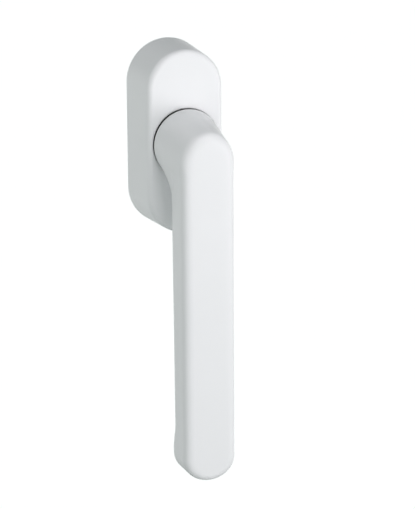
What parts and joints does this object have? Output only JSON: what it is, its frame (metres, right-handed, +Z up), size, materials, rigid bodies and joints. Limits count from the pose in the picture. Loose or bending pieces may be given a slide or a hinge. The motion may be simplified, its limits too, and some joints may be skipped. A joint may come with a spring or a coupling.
{
  "type": "window handle",
  "caption": "Lever window handle: a flat bar grip on a round neck turns on an oblong rosette and drives a square spindle; the cover lifts a little.",
  "frame": {"origin": "on the spindle axis, in the plane of the sash face the handle is screwed to", "axes": "+Z up, away from the hanging grip; +Y along the spindle into the sash; the grip stands off towards -Y"},
  "size_m": [0.033, 0.0824, 0.1693],
  "materials": {
    "white_plastic": "satin white moulding",
    "zinc": "as cast",
    "steel": "zinc plated",
    "black_plastic": "matt black"
  },
  "bodies": {
    "rosette": {"base_plate": "zinc", "cam_sleeve_upper": "black_plastic", "cam_sleeve_lower": "black_plastic", "fixing_screw_upper": "steel", "fixing_screw_lower": "steel", "guide_bush": "black_plastic", "detent_disc": "steel"},
    "cover": {"rosette_cover": "white_plastic"},
    "handle": {"grip_shell": "white_plastic", "grip_core": "steel", "spindle_hub": "zinc", "square_spindle": "steel", "spindle_pin": "steel", "detent_carrier": "black_plastic", "thrust_washer": "steel", "wave_washer": "steel", "retaining_circlip": "steel", "detent_spring_1": "steel", "detent_spring_2": "steel", "detent_spring_3": "steel", "detent_spring_4": "steel"},
    "ball_1": {"detent_ball_1": "steel"},
    "ball_2": {"detent_ball_2": "steel"},
    "ball_3": {"detent_ball_3": "steel"},
    "ball_4": {"detent_ball_4": "steel"}
  },
  "joints": [
    {"name": "handle_turn", "type": "hinge", "parent": "rosette", "child": "handle", "pos_m": [0, 0, 0], "axis": [0, 1, 0], "continuous": true},
    {"name": "cover_lift", "type": "slide", "parent": "rosette", "child": "cover", "axis": [0, -1, 0], "range_m": [0, 0.0009]},
    {"name": "ball_snap_1", "type": "slide", "parent": "handle", "child": "ball_1", "axis": [0, 1, 0], "range_m": [0, 0.0008], "stiffness_N_per_m": 400, "deforming": ["detent_spring_1"]},
    {"name": "ball_snap_2", "type": "slide", "parent": "handle", "child": "ball_2", "axis": [0, 1, 0], "range_m": [0, 0.0008], "stiffness_N_per_m": 400, "deforming": ["detent_spring_2"]},
    {"name": "ball_snap_3", "type": "slide", "parent": "handle", "child": "ball_3", "axis": [0, 1, 0], "range_m": [0, 0.0008], "stiffness_N_per_m": 400, "deforming": ["detent_spring_3"]},
    {"name": "ball_snap_4", "type": "slide", "parent": "handle", "child": "ball_4", "axis": [0, 1, 0], "range_m": [0, 0.0008], "stiffness_N_per_m": 400, "deforming": ["detent_spring_4"]}
  ]
}
